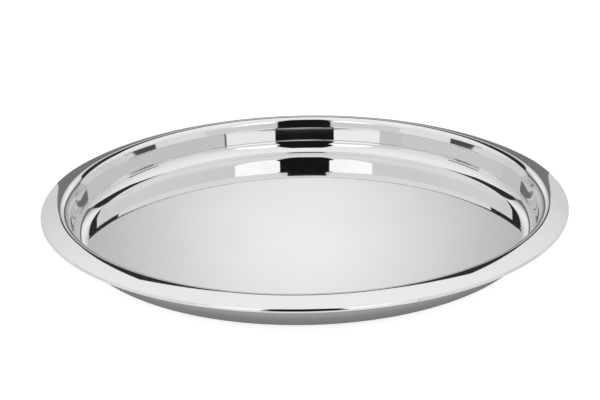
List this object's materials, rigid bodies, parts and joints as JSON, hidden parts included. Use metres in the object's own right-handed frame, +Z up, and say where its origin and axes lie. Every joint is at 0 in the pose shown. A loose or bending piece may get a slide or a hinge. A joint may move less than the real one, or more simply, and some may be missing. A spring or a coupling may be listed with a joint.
{
  "type": "shallow round pan",
  "caption": "Shallow round pan pressed from one sheet of mirror-polished stainless steel, with a steep wall and a domed, falling flange whose edge is turned down.",
  "frame": {"origin": "centre of the flat underside, where the pan rests", "axes": "+Z up along the axis of revolution, out of the pan's open side; the pan is the same all round, so X and Y are free"},
  "size_m": [0.4, 0.4, 0.03],
  "materials": {
    "polished_steel": "polished"
  },
  "bodies": {
    "root": {"pan_body": "polished_steel"}
  },
  "joints": []
}
